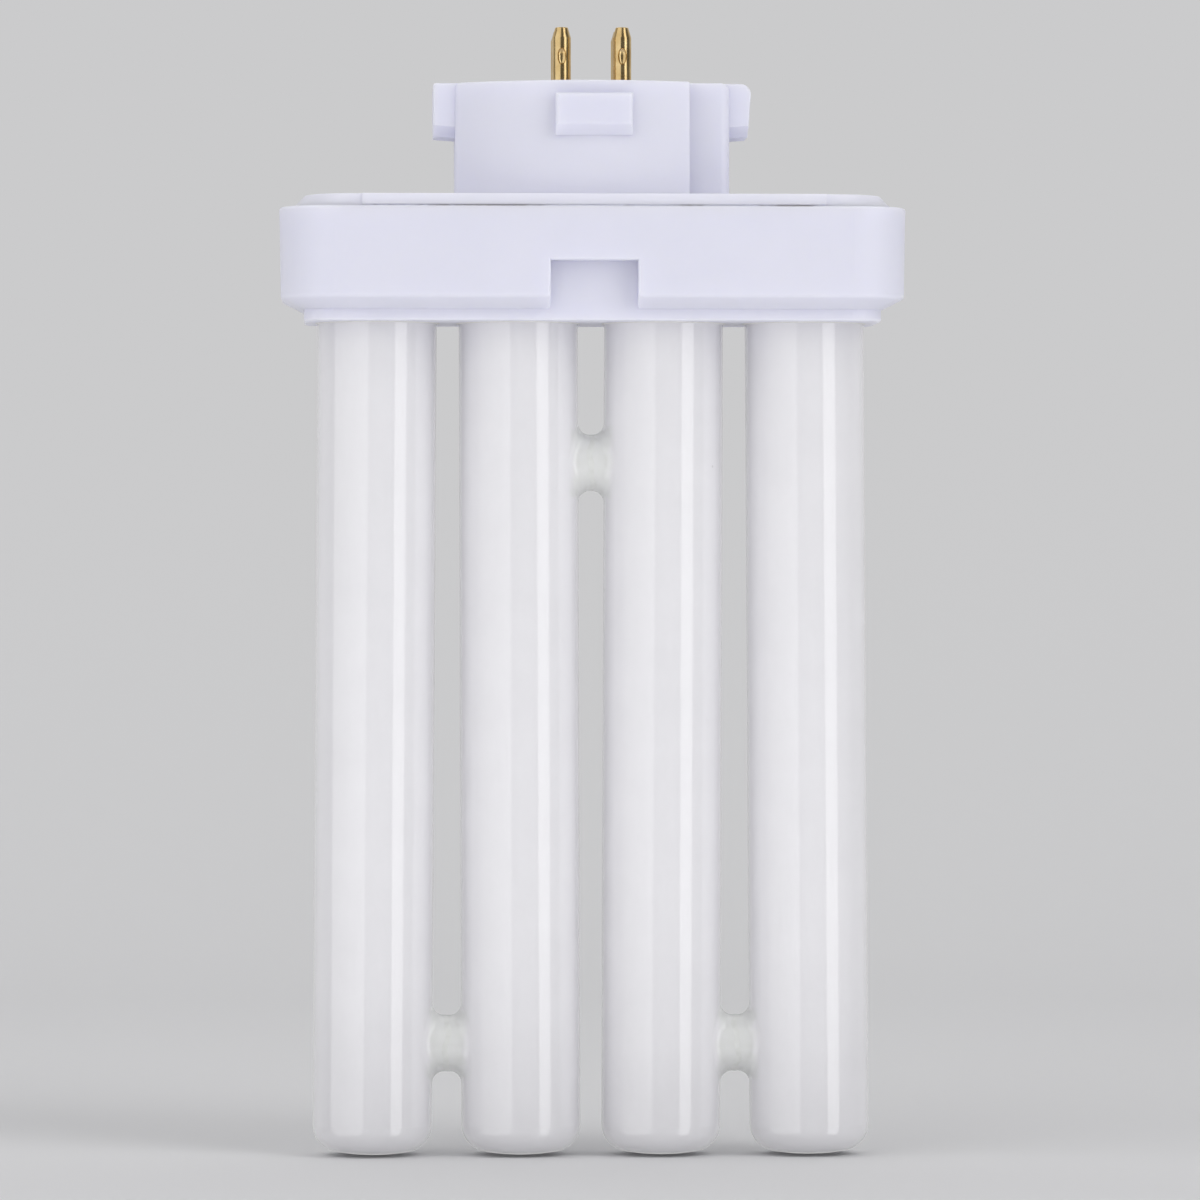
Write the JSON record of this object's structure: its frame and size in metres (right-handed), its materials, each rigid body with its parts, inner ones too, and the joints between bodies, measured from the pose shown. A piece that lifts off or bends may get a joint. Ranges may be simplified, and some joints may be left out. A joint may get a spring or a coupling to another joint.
{
  "type": "compact fluorescent lamp",
  "caption": "Plug-in compact fluorescent lamp: a flat row of white glass tubes joined by short bridges, in a shallow moulded base with a keyed post and brass contact pins.",
  "frame": {"origin": "centre of the four contact pins, on the plug post's end face", "axes": "+Z along the plug towards the pin tips, X along the row of tubes, -Y is the front in the picture; the tubes hang down along -Z"},
  "size_m": [0.0818, 0.028, 0.1478],
  "materials": {
    "coated_glass": "clear glass over an opaque white powder coating",
    "white_plastic": "satin, slightly lavender white moulding",
    "pin_brass": "polished",
    "cement": "dull, fine grained",
    "lead_metal": "bright drawn wire",
    "sleeving": "woven glass-fibre sleeving"
  },
  "bodies": {
    "root": {"discharge_tube": "coated_glass", "tube_holder": "white_plastic", "plug_cap": "white_plastic", "tube_cement_outer_left": "cement", "tube_cement_inner_left": "cement", "tube_cement_inner_right": "cement", "tube_cement_outer_right": "cement", "contact_pin_front_left": "pin_brass", "contact_pin_front_right": "pin_brass", "contact_pin_rear_left": "pin_brass", "contact_pin_rear_right": "pin_brass", "lead_wire_front_left": "lead_metal", "lead_wire_front_right": "lead_metal", "lead_wire_rear_left": "lead_metal", "lead_wire_rear_right": "lead_metal", "wire_sleeve_front_left": "sleeving", "wire_sleeve_front_right": "sleeving", "wire_sleeve_rear_left": "sleeving", "wire_sleeve_rear_right": "sleeving"}
  },
  "joints": []
}
